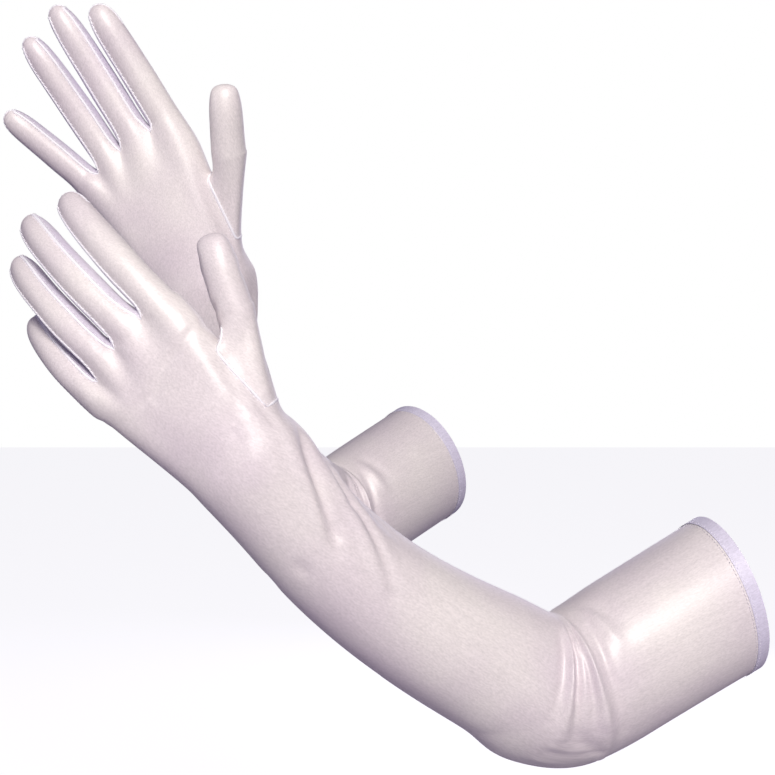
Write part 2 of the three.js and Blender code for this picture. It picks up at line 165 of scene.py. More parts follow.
@dataclass(frozen=True)
class StretchSatin:
    """Polyester-elastane satin: a smooth face that gleams in broad soft bands, over a fine knit grain.

    Attributes:
        name: The finish's name.
        slot: The record's material slot; not used.
        lit: Colour of the cloth's face.
        tint: Second colour, which drifts in over the length of an arm.
        roughness: Broadness of the gleam.
        sheen: Soft glow of the nap at grazing angles.
        grain_mm: Spacing of the knit's grain; the real one is about 0.3, drawn coarser so that it shows.
        grain_depth_mm: Depth of the grain in the bump.
        rib_mm: Spacing of the streaks that run along the arm.
        drift_mm: Length over which the colour drifts.
    """

    name: str
    slot: str
    lit: str
    tint: str
    roughness: float = 0.42
    sheen: float = 0.06
    grain_mm: float = 0.7
    grain_depth_mm: float = 0.05
    rib_mm: float = 1.6
    drift_mm: float = 70.0

    def make(self) -> bpy.types.Material:
        """Builds the material.

        Returns:
            The material, with its nodes.
        """
        material = bpy.data.materials.new(self.name)
        material.use_nodes = True
        tree = material.node_tree
        tree.nodes.clear()
        cloth = add_node(tree, "ShaderNodeAttribute", {"attribute_name": "cloth_mm"}).outputs["Vector"]
        drift = add_node(tree, "ShaderNodeTexNoise", Vector=cloth, Scale=1 / self.drift_mm, Detail=2.0)
        knit = add_node(tree, "ShaderNodeMapping", Vector=cloth, Scale=(1.0, 1.0, 0.35))
        grain = add_node(
            tree,
            "ShaderNodeTexNoise",
            Vector=knit.outputs[0],
            Scale=1 / self.grain_mm,
            Detail=3.0,
            Roughness=0.6,
        ).outputs["Fac"]
        streak = add_node(tree, "ShaderNodeMapping", Vector=cloth, Scale=(1.0, 1.0, 0.03))
        ribs = add_node(
            tree, "ShaderNodeTexNoise", Vector=streak.outputs[0], Scale=1 / self.rib_mm, Detail=2.0
        ).outputs["Fac"]
        share = add_node(tree, "ShaderNodeMapRange", Value=drift.outputs["Fac"], From_Min=0.35, From_Max=0.65)
        base = add_node(tree, "ShaderNodeMix", {"data_type": "RGBA"}, i0=share.outputs[0])
        base.inputs[6].default_value = linear(self.lit)
        base.inputs[7].default_value = linear(self.tint)
        speck = add_node(tree, "ShaderNodeMapRange", Value=grain, To_Min=0.88, To_Max=1.09, **NOISE_SPREAD)
        streaks = add_node(tree, "ShaderNodeMapRange", Value=ribs, To_Min=0.97, To_Max=1.03, **NOISE_SPREAD)
        value = add_node(
            tree, "ShaderNodeMath", {"operation": "MULTIPLY"}, i0=speck.outputs[0], i1=streaks.outputs[0]
        )
        colour = add_node(tree, "ShaderNodeHueSaturation", Color=base.outputs[2], Value=value.outputs[0])
        rough = add_node(
            tree,
            "ShaderNodeMapRange",
            Value=ribs,
            To_Min=self.roughness - 0.05,
            To_Max=self.roughness + 0.06,
            **NOISE_SPREAD,
        )
        height = add_node(tree, "ShaderNodeMath", {"operation": "ADD"}, i0=grain, i1=ribs)
        bump = add_node(
            tree, "ShaderNodeBump", Height=height.outputs[0], Strength=0.5, Distance=self.grain_depth_mm * MM
        )
        shader = add_node(
            tree,
            "ShaderNodeBsdfPrincipled",
            Base_Color=colour.outputs[0],
            Roughness=rough.outputs[0],
            Normal=bump.outputs[0],
            IOR=1.5,
            Specular_IOR_Level=0.8,
            Sheen_Weight=self.sheen,
            Sheen_Roughness=0.4,
            Sheen_Tint=linear("fbf7fb"),
        )
        out = add_node(tree, "ShaderNodeOutputMaterial")
        tree.links.new(shader.outputs[0], out.inputs["Surface"])
        return material


BACK_SATIN = StretchSatin("back_satin", "back_satin", "eae4e3", "e1d7dd")
PALM_SATIN = StretchSatin("palm_satin", "palm_satin", "eae4e3", "e1d7dd")
FOURCHETTE_SATIN = StretchSatin("fourchette_satin", "fourchette_satin", "dcd6e2", "d2cadc")
HEM_SATIN = StretchSatin("hem_satin", "hem_satin", "e2def0", "d9d4ea", roughness=0.45)
# Near-white seam finish: partly the denser seam allowance and thread showing through, partly a painted
# highlight along the raised seam edges; the stitches share it.
SEAM_EDGE_AND_HIGHLIGHT_SATIN = StretchSatin("seam_edge_painted_highlight_satin", "hem_satin", "fbfaff", "f5f3fc", roughness=0.5, grain_mm=0.4)
FINISHES = (BACK_SATIN, PALM_SATIN, FOURCHETTE_SATIN, HEM_SATIN, SEAM_EDGE_AND_HIGHLIGHT_SATIN)


# ---- Sizes ---------------------------------------------------------------------------------------


@dataclass(frozen=True)
class ClothSizes:
    """Sizes of the cloth and its sewing, in millimetres.

    Attributes:
        wall: Thickness of the cloth.
        hem_layers: Thickness of the turned-up hem, in cloths.
        hem_lift: How far the hem stands out over the sleeve.
        cad_cloth: Thickness of a panel in the frame.
        cad_hem: Thickness of the hem in the frame.
        weld: Widest gap that is closed between two panels of the frame.
        seam_width: Width of the raised edge over a seam.
        seam_height: Height of that edge.
        stitch_length: Length of one stitch.
        stitch_pitch: Distance from one stitch to the next.
        stitch_radius: Half the thread's thickness.
        stitch_beside: How far the stitches stand from the seam.
        side_match: How closely an edge that crosses a panel's cut side must match the wall's thickness.
    """

    wall: float = 0.55
    hem_layers: float = 2.2
    hem_lift: float = 0.45
    cad_cloth: float = 0.5
    cad_hem: float = 1.1
    weld: float = 0.95
    seam_width: float = 1.6
    seam_height: float = 0.5
    stitch_length: float = 1.5
    stitch_pitch: float = 2.5
    stitch_radius: float = 0.14
    stitch_beside: float = 1.25
    side_match: float = 0.015

    def cad_wall(self, node_name: str) -> float:
        """Thickness of one of the frame's panels."""
        return self.cad_hem if node_name.endswith("hem") else self.cad_cloth


# The frame's nodes that a panel of cloth stands for, where they aren't the one of its own name.
REPLACED = {
    "sleeve_back": ("upper_back", "elbow_fold"),
    "sleeve_palm": ("upper_palm",),
    "hand_back": ("hand_back", "forearm_back", "wrist_fold", "finger_crotches"),
    "hand_palm": ("hand_palm", "forearm_palm"),
    "thumb": ("thumb", "thumb_base"),
}


@dataclass(frozen=True)
class Fold:
    """One crease or ridge of the cloth, drawn in the arm's own measures.

    Attributes:
        route: Points as (millimetres from the elbow towards the hand, degrees round from the inner side of
            the elbow over the back).
        height: How far the cloth stands out, or sinks where it is negative, in millimetres.
        width: Half width of the fold, in millimetres.
    """

    route: tuple[tuple[float, float], ...]
    height: float
    width: float


# ---- The skin, sewn from the frame's panels ------------------------------------------------------


def renumber(faces: np.ndarray, count: int) -> tuple[np.ndarray, np.ndarray]:
    """Numbers the vertices that some faces use afresh.

    Args:
        faces: Vertex numbers, one row for each face.
        count: How many vertices there are.

    Returns:
        The numbers in use, in order, and the faces in the new numbers.
    """
    used = np.unique(faces)
    place = np.full(count, -1)
    place[used] = np.arange(len(used))
    return used, place[faces]


def connected(tris: np.ndarray, count: int) -> np.ndarray:
    """Gives each vertex the lowest vertex number of the sheet of triangles that it belongs to."""
    group = np.arange(count)
    while True:
        new = group.copy()
        np.minimum.at(new, tris.ravel(), np.repeat(group[tris].min(1), 3))
        new = new[new]
        if (new == group).all():
            return group
        group = new


SAME_PLACE = 1e-6


def outer_face(node: bpy.types.Object, sizes: ClothSizes) -> tuple[np.ndarray, np.ndarray]:
    """Takes the outer face of a thin panel, without its cut sides and its inner face.

    Args:
        node: A panel of the frame.
        sizes: The cloth's sizes.

    Returns:
        The vertices, and the triangles as rows of three.
    """
    mesh = node.data
    mesh.calc_loop_triangles()
    co = np.array([v.co for v in mesh.vertices], float)
    tris = np.array([t.vertices for t in mesh.loop_triangles], int)
    rounded = np.round(co / SAME_PLACE)
    _, first, same = np.unique(rounded, axis=0, return_index=True, return_inverse=True)
    co, tris = co[first], same.reshape(-1)[tris]
    corners = co[tris]
    edges = np.linalg.norm(corners - np.roll(corners, 1, axis=1), axis=2)
    cut_side = (np.abs(edges - sizes.cad_wall(node.name) * MM) < sizes.side_match * MM).any(1)
    tris = tris[~cut_side]
    group = connected(tris, len(co))[tris[:, 0]]
    cross = np.cross(co[tris[:, 1]] - co[tris[:, 0]], co[tris[:, 2]] - co[tris[:, 0]])
    area = np.bincount(group, weights=np.linalg.norm(cross, axis=1))
    tris = tris[group == area.argmax()]
    used, local = renumber(tris, len(co))
    return co[used], local


@dataclass
class Skin:
    """A glove's smooth outer surface, with the panel and the region that each face belongs to.

    Attributes:
        co: Vertices, in metres.
        quads: Faces as rows of four vertex numbers.
        panel: Name of the panel of each face.
        region: Region of each face.
        normal: Unit normals at the vertices.
    """

    co: np.ndarray
    quads: np.ndarray
    panel: np.ndarray
    region: np.ndarray
    normal: np.ndarray = field(init=False)

    def __post_init__(self) -> None:
        """Works the normals out."""
        self.refresh_normals()

    def refresh_normals(self) -> None:
        """Works the vertex normals out again, weighted by area."""
        a, b, c, d = (self.co[self.quads[:, i]] for i in range(4))
        face = np.cross(c - a, d - b)
        total = np.zeros_like(self.co)
        for i in range(4):
            np.add.at(total, self.quads[:, i], face)
        self.normal = total / np.maximum(np.linalg.norm(total, axis=1, keepdims=True), 1e-12)


@dataclass
class Tailor:
    """Sews the frame's panels of one glove into a skin and tells its regions apart.

    Attributes:
        side: Which hand the glove is for.
        frame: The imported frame, as loaded.
        sizes: The cloth's sizes.
        finger_rows: Rows of the finger roots' faces that go to the fingers.
        thumb_rows: Rows of the thumb gusset's faces that go to the thumb.
        hand_rows: Rows of those parts' faces that may go to the hand's back or palm.
        arm_rows: Rows of the elbow's and wrist's faces that may go to the forearm's back or palm.
        fitting_rounds: How often the net is corrected so that its smooth skin meets the frame's points.
        fitting_share: Share of the remaining distance that one round takes away.
    """

    side: Side
    frame: dict
    sizes: ClothSizes
    finger_rows: int = 2
    thumb_rows: int = 3
    hand_rows: int = 4
    arm_rows: int = 30
    fitting_rounds: int = 3
    fitting_share: float = 0.8

    def __post_init__(self) -> None:
        """Takes the glove's panels and joints from the frame, without the side in their names."""
        prefix = f"{self.side.value}_"
        nodes = self.frame["nodes"].items()
        joints = [(joint["name"], joint) for joint in self.frame["joints"]]
        self.nodes = {name.removeprefix(prefix): node for name, node in nodes if name.startswith(prefix)}
        self.joints = {name.removeprefix(prefix): joint for name, joint in joints if name.startswith(prefix)}

    def hinge(self, name: str) -> np.ndarray:
        """The place of a hinge, in metres."""
        return np.array(self.joints[f"{name}_bend"]["pos_m"], float)

    def cage(self) -> tuple[bmesh.types.BMesh, list[str]]:
        """Joins the outer faces of all panels into one net of quads.

        Returns:
            The net, whose faces' material numbers say their panel, and the panels' names.
        """
        names = sorted(self.nodes)
        net = bmesh.new()
        for number, name in enumerate(names):
            co, tris = outer_face(self.nodes[name], self.sizes)
            corners = [net.verts.new(p) for p in co]
            for tri in tris:
                face = net.faces.new([corners[i] for i in tri])
                face.material_index = number
        bmesh.ops.remove_doubles(net, verts=net.verts[:], dist=self.sizes.weld * MM)
        bmesh.ops.join_triangles(
            net,
            faces=net.faces[:],
            cmp_materials=True,
            angle_face_threshold=math.pi,
            angle_shape_threshold=math.pi,
        )
        net.verts.index_update()
        net.faces.ensure_lookup_table()
        odd = sum(len(f.verts) != 4 for f in net.faces)
        loose = sum(len(e.link_faces) == 1 for e in net.edges)
        LOG.info(
            "%s net: %d faces, %d not quads, %d open edges", self.side.value, len(net.faces), odd, loose
        )
        return net, names

    def spread(self, labels: dict, names: set[str], of: dict, steps: int) -> None:
        """Carries labels on from face to face, one row of faces at a time.

        Args:
            labels: Label of each face, changed in place.
            names: Panels whose faces may take a new label.
            of: Panel of each face.
            steps: How many rows to go.
        """
        front = [face for face in labels if of[face] not in names]
        for _ in range(steps):
            found = {}
            for face in front:
                for edge in face.edges:
                    for other in edge.link_faces:
                        if of[other] in names and other not in labels and other not in found:
                            found[other] = labels[face]
            labels.update(found)
            front = list(found)

    def label(self, net: bmesh.types.BMesh, names: list[str]) -> tuple[dict, dict]:
        """Gives each face of the net its final panel and its region.

        Args:
            net: The net of quads.
            names: Panel names by material number.

        Returns:
            Panel by face, and region by face.
        """
        of = {face: names[face.material_index] for face in net.faces}
        panel = {f: p for f, p in of.items() if p.split("_")[0] in FINGERS}
        self.spread(panel, {"finger_crotches"}, of, self.finger_rows)
        thumb = {f: p for f, p in of.items() if p == "thumb"}
        self.spread(thumb, {"thumb_base"}, of, self.thumb_rows)
        panel.update(thumb)
        sides = {f: p.split("_")[1] for f, p in of.items() if p in ("forearm_back", "forearm_palm")}
        self.spread(sides, {"elbow_fold", "wrist_fold"}, of, self.arm_rows)
        hands = {f: p.split("_")[1] for f, p in of.items() if p in ("hand_back", "hand_palm")}
        named = {f: panel.get(f, p) for f, p in of.items()}
        self.spread(hands, {"finger_crotches", "thumb_base"}, named, self.hand_rows)
        region = {}
        for face in net.faces:
            name = of[face]
            region[face] = self.region_of(face, panel.get(face, name))
            if name == "hem":
                panel[face] = "hem"
            elif face not in panel:
                way = sides.get(face) or hands.get(face) or name.split("_")[1]
                panel[face] = f"{region[face].value}_{way}"
        return panel, region

    def region_of(self, face: bmesh.types.BMFace, name: str) -> Region:
        """Finds the region of a face from its panel and, on the forearm, from its place."""
        part = name.split("_")[0]
        if part in FINGERS:
            return Region(part)
        if name == "thumb":
            return Region.THUMB
        if part in ("hem", "upper", "elbow"):
            return Region.SLEEVE
        if part == "forearm":
            elbow, wrist = self.hinge("elbow"), self.hinge("wrist")
            from_middle = np.array(face.calc_center_median()) - (elbow + wrist) / 2
            return Region.HAND if from_middle @ (wrist - elbow) > 0 else Region.SLEEVE
        return Region.HAND

    def sew(self, levels: int) -> Skin:
        """Makes the smooth skin, which passes through the frame's own points.

        Args:
            levels: How many times each face is split in four.

        Returns:
            The skin.
        """
        net, names = self.cage()
        panel, region = self.label(net, names)
        kinds = sorted({(panel[f], region[f].value) for f in net.faces})
        for face in net.faces:
            face.material_index = kinds.index((panel[face], region[face].value))
        mesh = bpy.data.meshes.new(f"{self.side.value}_net")
        net.to_mesh(mesh)
        net.free()
        target = np.array([v.co for v in mesh.vertices], float)
        for _ in range(self.fitting_rounds):
            fine = self.subdivide(mesh, 2)
            reached = np.array([fine.vertices[i].co for i in range(len(target))], float)
            moved = np.array([v.co for v in mesh.vertices], float) + self.fitting_share * (target - reached)
            mesh.vertices.foreach_set("co", moved.ravel())
            bpy.data.meshes.remove(fine)
        fine = self.subdivide(mesh, levels)
        co = np.array([v.co for v in fine.vertices], float)
        quads = np.array([p.vertices for p in fine.polygons], int)
        kind = np.array([p.material_index for p in fine.polygons], int)
        bpy.data.meshes.remove(fine)
        bpy.data.meshes.remove(mesh)
        panels, regions = np.array(kinds).T
        return Skin(co, quads, panels[kind], regions[kind])

    @staticmethod
    def subdivide(mesh: bpy.types.Mesh, levels: int) -> bpy.types.Mesh:
        """A finer copy of a mesh, smoothed by a Subdivision Surface modifier."""
        thing = bpy.data.objects.new("subdivided", mesh.copy())
        bpy.context.scene.collection.objects.link(thing)
        modifier = thing.modifiers.new("smooth", "SUBSURF")
        modifier.levels = modifier.render_levels = levels
        modifier.use_limit_surface = False
        bpy.context.view_layer.update()
        seen = thing.evaluated_get(bpy.context.evaluated_depsgraph_get())
        fine = bpy.data.meshes.new_from_object(seen)
        before = thing.data
        bpy.data.objects.remove(thing)
        bpy.data.meshes.remove(before)
        return fine


# ---- The arm's own measures ----------------------------------------------------------------------


@dataclass
class ArmMeasure:
    """Reads a point of the sleeve as a length along the arm and an angle round it.

    Attributes:
        opening: Centre of the sleeve's opening, in metres.
        elbow: The elbow's place.
        wrist: The wrist's place.
        turn_length: Length over which the measure turns from the upper arm to the forearm, in metres.
    """

    opening: np.ndarray
    elbow: np.ndarray
    wrist: np.ndarray
    turn_length: float = 0.1

    def __post_init__(self) -> None:
        """Works out the directions of both parts of the arm and of the elbow's hinge."""
        self.lower = (self.wrist - self.elbow) / np.linalg.norm(self.wrist - self.elbow)
        self.upper = (self.elbow - self.opening) / np.linalg.norm(self.elbow - self.opening)
        hinge = np.cross(self.upper, self.lower)
        self.hinge = hinge / np.linalg.norm(hinge)

    def read(self, co: np.ndarray) -> tuple[np.ndarray, np.ndarray, np.ndarray]:
        """Measures points.

        Args:
            co: Points, in metres.

        Returns:
            Millimetres from the elbow towards the hand, degrees round from the inner side of the elbow, and
            millimetres out from the arm's centre line.
        """
        from_elbow = co - self.elbow
        along_lower = from_elbow @ self.lower
        along_upper = from_elbow @ self.upper
        share = np.clip((along_lower + along_upper) / self.turn_length + 0.5, 0, 1)
        share = (share * share * (3 - 2 * share))[:, None]
        axis = self.upper * (1 - share) + self.lower * share
        axis /= np.linalg.norm(axis, axis=1, keepdims=True)
        inner = np.cross(self.hinge, axis)
        along = (from_elbow * axis).sum(1)
        out = from_elbow - axis * along[:, None]
        a = (out * inner).sum(1)
        b = out @ self.hinge
        return along / MM, np.degrees(np.arctan2(b, a)) % 360, np.hypot(a, b) / MM

    def cloth(self, co: np.ndarray) -> np.ndarray:
        """Where points lie when the arm is unbent, in millimetres, for patterns that follow the cloth."""
        along, angle, radius = self.read(co)
        turn = np.radians(angle)
        return np.stack([radius * np.cos(turn), radius * np.sin(turn), along], 1)


@dataclass
class Creaser:
    """Presses folds and the small unevenness of worn cloth into a skin.

    Attributes:
        measure: The arm's own measures.
        folds: The folds to press.
        ripple_height: Height of the unevenness, in millimetres.
        ripple_length: Spacing of the unevenness round the arm, in millimetres.
        crook_length: Reach of the elbow's crook along the arm, in millimetres.
        crook_turn: Reach of the crook round the arm, in degrees.
        crook_rounds: How often each vertex of the crook moves towards its neighbours.
        ripple_stretch: Share of the length along the arm that counts, which draws the unevenness out.
        route_steps: Steps from one point of a fold's route to the next.
        taper: How soon a fold reaches its height from its ends; less is sooner.
    """

    measure: ArmMeasure
    folds: tuple[Fold, ...]
    ripple_height: float = 0.35
    ripple_length: float = 26.0
    crook_length: float = 26.0
    crook_turn: float = 48.0
    crook_rounds: int = 60
    ripple_stretch: float = 0.4
    route_steps: int = 8
    taper: float = 0.4

    def relax(self, skin: Skin) -> None:
        """Evens out the cramped cloth in the crook of the elbow, by moving the skin's vertices."""
        along, angle, _ = self.measure.read(skin.co)
        turn = np.minimum(angle, 360 - angle)
        share = np.exp(-((along / self.crook_length) ** 2) - (turn / self.crook_turn) ** 2)[:, None]
        a, b = skin.quads.ravel(), np.roll(skin.quads, -1, axis=1).ravel()
        count = np.bincount(np.concatenate([a, b]), minlength=len(skin.co))[:, None]
        for _ in range(self.crook_rounds):
            total = np.zeros_like(skin.co)
            np.add.at(total, a, skin.co[b])
            np.add.at(total, b, skin.co[a])
            skin.co = skin.co + share * (total / count - skin.co)
        skin.refresh_normals()

    def press(self, skin: Skin) -> None:
        """Relaxes the crook, then moves the skin's vertices along their normals."""
        self.relax(skin)
        lift = np.zeros(len(skin.co))
        along, angle, radius = self.measure.read(skin.co)
        for fold in self.folds:
            lift += self.fold_lift(fold, along, angle, radius)
        cloth = self.measure.cloth(skin.co)
        for i, (x, y, z) in enumerate(cloth / self.ripple_length):
            lift[i] += self.ripple_height * noise.noise(Vector((x, y, z * self.ripple_stretch)))
        skin.co = skin.co + skin.normal * (lift * MM)[:, None]
        skin.refresh_normals()

    def fold_lift(self, fold: Fold, along: np.ndarray, angle: np.ndarray, radius: np.ndarray) -> np.ndarray:
        """Height of one fold at each point, in millimetres."""
        route = np.array(fold.route, float)
        steps = np.linspace(0, len(route) - 1, self.route_steps * (len(route) - 1) + 1)
        low = np.minimum(steps.astype(int), len(route) - 2)
        part = (steps - low)[:, None]
        path = route[low] * (1 - part) + route[low + 1] * part
        nearest = np.full(len(along), np.inf)
        share = np.zeros(len(along))
        for i, (s, turn) in enumerate(path):
            around = np.radians((angle - turn + 180) % 360 - 180) * radius
            distance = np.hypot(along - s, around)
            closer = distance < nearest
            nearest[closer] = distance[closer]
            share[closer] = i / (len(path) - 1)
        taper = np.sin(np.pi * np.clip(share, 0.03, 0.97)) ** self.taper
        return fold.height * taper * np.exp(-((nearest / fold.width) ** 2))


# ---- Pieces --------------------------------------------------------------------------------------


def new_piece(name: str, co: np.ndarray, faces: list, material: bpy.types.Material) -> bpy.types.Object:
    """Makes a smooth-shaded mesh object at the origin.

    Args:
        name: The piece's name.
        co: Vertices, in metres.
        faces: Vertex numbers of each face.
        material: Its material.

    Returns:
        The object.
    """
    mesh = bpy.data.meshes.new(name)
    mesh.from_pydata(co.tolist(), [], faces)
    mesh.materials.append(material)
    mesh.shade_smooth()
    piece = bpy.data.objects.new(name, mesh)
    bpy.context.scene.collection.objects.link(piece)
    return piece


def mark_cloth(piece: bpy.types.Object, places: np.ndarray) -> None:
    """Stores where each vertex lies on the unbent cloth, which the materials' patterns follow."""
    attribute = piece.data.attributes.new("cloth_mm", "FLOAT_VECTOR", "POINT")
    attribute.data.foreach_set("vector", places.astype(np.float32).ravel())


def walled(quads: np.ndarray, count: int) -> list[tuple[int, ...]]:
    """Closes a sheet of faces with its inner side and a wall along its edges.

    Args:
        quads: Faces of the outer side as rows of four vertex numbers.
        count: How many vertices it has. Those of the inner side follow in the same order.

    Returns:
        All faces.
    """
    edges: dict[tuple[int, int], None] = {}
    for quad in quads.tolist():
        for a, b in zip(quad, quad[1:] + quad[:1]):
            if (b, a) in edges:
                del edges[(b, a)]
            else:
                edges[(a, b)] = None
    outer = [tuple(quad) for quad in quads.tolist()]
    inner = [tuple(i + count for i in reversed(quad)) for quad in outer]
    return outer + inner + [(b, a, a + count, b + count) for a, b in edges]


@dataclass(frozen=True)
class Bend:
    """The joint that a region's cloth bends over."""

    fixed: str
    moving: str
    start: np.ndarray
    end: np.ndarray

    def apply(self, piece: bpy.types.Object) -> None:
        """Bakes the piece's placement into its mesh; no bend between the two bodies is set up."""
        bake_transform(piece)


@dataclass
class Glove:
    """One opera glove: its skin, cut into panels of cloth, with seams and stitches.

    Attributes:
        side: Which hand the glove is for.
        frame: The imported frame, as loaded.
        folds: The folds of its sleeve and hand.
        materials: The finishes' materials by name.
        sizes: The cloth's sizes.
        elbow_spread: Where the bend of the elbow's cloth begins and ends, in percentiles of its stretch.
        wrist_end: Farthest that the wrist's bend reaches past the hinge, in millimetres.
        root_start: Latest place where the bend of a finger's root begins, from its hinge, in millimetres.
        root_end: Where it ends.
        shortest_seam: Fewest points of a line that is sewn.
    """

    side: Side
    frame: dict
    folds: tuple[Fold, ...]
    materials: dict[str, bpy.types.Material]
    sizes: ClothSizes = ClothSizes()
    elbow_spread: tuple[float, float] = (12, 88)
    wrist_end: float = 10
    root_start: float = -1
    root_end: float = 11
    shortest_seam: int = 4

    def __post_init__(self) -> None:
        """Sews the skin, measures it and presses its folds."""
        self.tailor = Tailor(self.side, self.frame, self.sizes)
        mounts = {mount["name"]: mount for mount in self.frame["record"]["mounts"]}
        opening = np.array(mounts[self.own("arm")]["pos_m"], float)
        self.measure = ArmMeasure(opening, self.tailor.hinge("elbow"), self.tailor.hinge("wrist"))
        self.skin = self.tailor.sew(levels=3)
        self.axes = self.finger_axes()
        Creaser(self.measure, self.folds).press(self.skin)
        self.centres = {
            name: self.skin.co[self.skin.quads[self.skin.region == name]].mean((0, 1)) for name in FINGERS
        }
        self.bends = {region: self.bend_of(region) for region in Region}

    def build(self) -> None:
        """Makes every piece of the glove."""
        self.make_panels()
        self.make_seams()

    def own(self, name: str) -> str:
        """The frame's name of one of this glove's bodies or nodes."""
        return f"{self.side.value}_{name}"

    def node_places(self, name: str) -> np.ndarray:
        """The vertices of one of the frame's nodes."""
        return np.array([v.co for v in self.tailor.nodes[name].data.vertices], float)

    def finger_axes(self) -> dict[str, np.ndarray]:
        """Finds the way that each finger and the thumb point, from the hinge to the middle of the cloth."""
        axes = {}
        for name in (*FINGERS, "thumb"):
            if name == "thumb":
                centre = self.skin.co[self.skin.quads[self.skin.panel == name]].mean((0, 1))
            else:
                centre = self.node_places(f"{name}_back").mean(0)
            reach = centre - self.tailor.hinge(name)
            axes[name] = reach / np.linalg.norm(reach)
        return axes

    def bend_of(self, region: Region) -> Bend:
        """Works out the joint, and where along the cloth its bend begins and ends.

        Args:
            region: A region of the glove.

        Returns:
            The bend.
        """
        elbow, wrist = self.tailor.hinge("elbow"), self.tailor.hinge("wrist")
        if region is Region.SLEEVE:
            line = self.measure.lower + self.measure.upper
            line /= np.linalg.norm(line)
            reach = (self.node_places("elbow_fold") - elbow) @ line
            return Bend(
                self.own("upper_arm"),
                self.own("forearm"),
                elbow + line * np.percentile(reach, self.elbow_spread[0]),
                elbow + line * np.percentile(reach, self.elbow_spread[1]),
            )
        if region is Region.HAND:
            line = self.measure.lower
            reach = (self.node_places("wrist_fold") - wrist) @ line
            return Bend(
                self.own("forearm"),
                self.own("hand"),
                wrist + line * reach.min(),
                wrist + line * min(reach.max(), self.wrist_end * MM),
            )
        name = region.value
        axis, hinge = self.axes[name], self.tailor.hinge(name)
        inside = self.skin.region == name
        shared = np.intersect1d(self.skin.quads[inside], self.skin.quads[~inside])
        first = ((self.skin.co[shared] - hinge) @ axis).max()
        moving = "thumb" if region is Region.THUMB else f"{name}_finger"
        start, end = min(first, self.root_start * MM), self.root_end * MM
        return Bend(self.own("hand"), self.own(moving), hinge + axis * start, hinge + axis * end)

    @staticmethod
    def finish_of(panel: str) -> StretchSatin:
        """The finish of a panel."""
        if panel == "hem":
            return HEM_SATIN
        if "fourchette" in panel:
            return FOURCHETTE_SATIN
        return PALM_SATIN if panel.endswith("palm") else BACK_SATIN

    def make_panels(self) -> None:
        """Cuts the skin into panels and gives each one its wall."""
        skin = self.skin
        kinds = sorted(set(zip(skin.region.tolist(), skin.panel.tolist())))
        made = {panel: self.make_panel(Region(region), panel) for region, panel in kinds}

    def make_panel(self, region: Region, panel: str) -> bpy.types.Object:
        """Makes one panel of the glove.

        Args:
            region: The region whose faces the panel takes.
            panel: The panel's name.

        Returns:
            The panel's piece.
        """
        skin, sizes = self.skin, self.sizes
        chosen = (skin.region == region.value) & (skin.panel == panel)
        used, quads = renumber(skin.quads[chosen], len(skin.co))
        outer, normal, wall = skin.co[used], skin.normal[used], sizes.wall * MM
        if panel == "hem":
            outer = outer + normal * sizes.hem_lift * MM
            wall = sizes.wall * sizes.hem_layers * MM
        finish = self.finish_of(panel)
        piece = new_piece(
            self.own(f"{panel}_cloth"),
            np.vstack([outer, outer - normal * wall]),
            walled(quads, len(used)),
            self.materials[finish.name],
        )
        piece.data.normals_split_custom_set_from_vertices(np.vstack([normal, -normal]).tolist())
        mark_cloth(piece, np.vstack([self.measure.cloth(skin.co[used])] * 2))
        self.bends[region].apply(piece)
        nodes = [self.own(node) for node in REPLACED.get(panel, (panel,))]
        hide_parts(*nodes)
        a, b, c, d = (outer[quads[:, i]] for i in range(4))
        area = np.linalg.norm(np.cross(c - a, d - b), axis=1).sum() / 2
        LOG.info("%s: %d quads, %.4f m2, replaces %s", piece.name, len(quads), area, nodes)
        return piece

    # -- seams --

    def seam_edges(self) -> dict[str, list[tuple[int, int]]]:
        """Finds the seams as edges of the skin, by the region that each lies in.

        Returns:
            Edges as pairs of vertex numbers, by region.
        """
        skin = self.skin
        first: dict[tuple[int, int], int] = {}
        found: dict[str, list[tuple[int, int]]] = {}
        for number, quad in enumerate(skin.quads.tolist()):
            for a, b in zip(quad, quad[1:] + quad[:1]):
                key = (min(a, b), max(a, b))
                other = first.setdefault(key, number)
                panels = {skin.panel[number], skin.panel[other]}
                regions = {skin.region[number], skin.region[other]}
                if len(panels) < 2 or not self.is_seam(panels, regions, (skin.co[a] + skin.co[b]) / 2):
                    continue
                home = min(regions & {"sleeve", "hand"} or regions)
                found.setdefault(home, []).append(key)
        return found

    def hem_edges(self) -> list[tuple[int, int]]:
        """Finds the line between the hem and the sleeve as edges of the skin."""
        skin = self.skin
        rims = []
        for inside in (skin.panel == "hem", skin.panel != "hem"):
            quads = skin.quads[inside]
            a, b = quads.ravel(), np.roll(quads, -1, axis=1).ravel()
            rims.append({(min(p, q), max(p, q)) for p, q in zip(a.tolist(), b.tolist())})
        return sorted(rims[0] & rims[1])

    def is_seam(self, panels: set[str], regions: set[str], place: np.ndarray) -> bool:
        """Tells whether the line between two panels is sewn.

        Args:
            panels: The panels on its two sides.
            regions: The regions on its two sides.
            place: A place on the line, in metres.

        Returns:
            True for a seam, False where the real cloth runs on.
        """
        if "hem" in panels:
            return False
        if len(regions) > 1:
            return regions == {"thumb", "hand"}
        if any("fourchette" in panel for panel in panels):
            return True
        if regions == {"index"}:
            return (place - self.centres["index"]) @ (self.centres["middle"] - self.centres["index"]) > 0
        if regions <= {"hand", "sleeve"}:
            _, angle, _ = self.measure.read(place[None])
            return 90 < angle[0] < 270
        return True

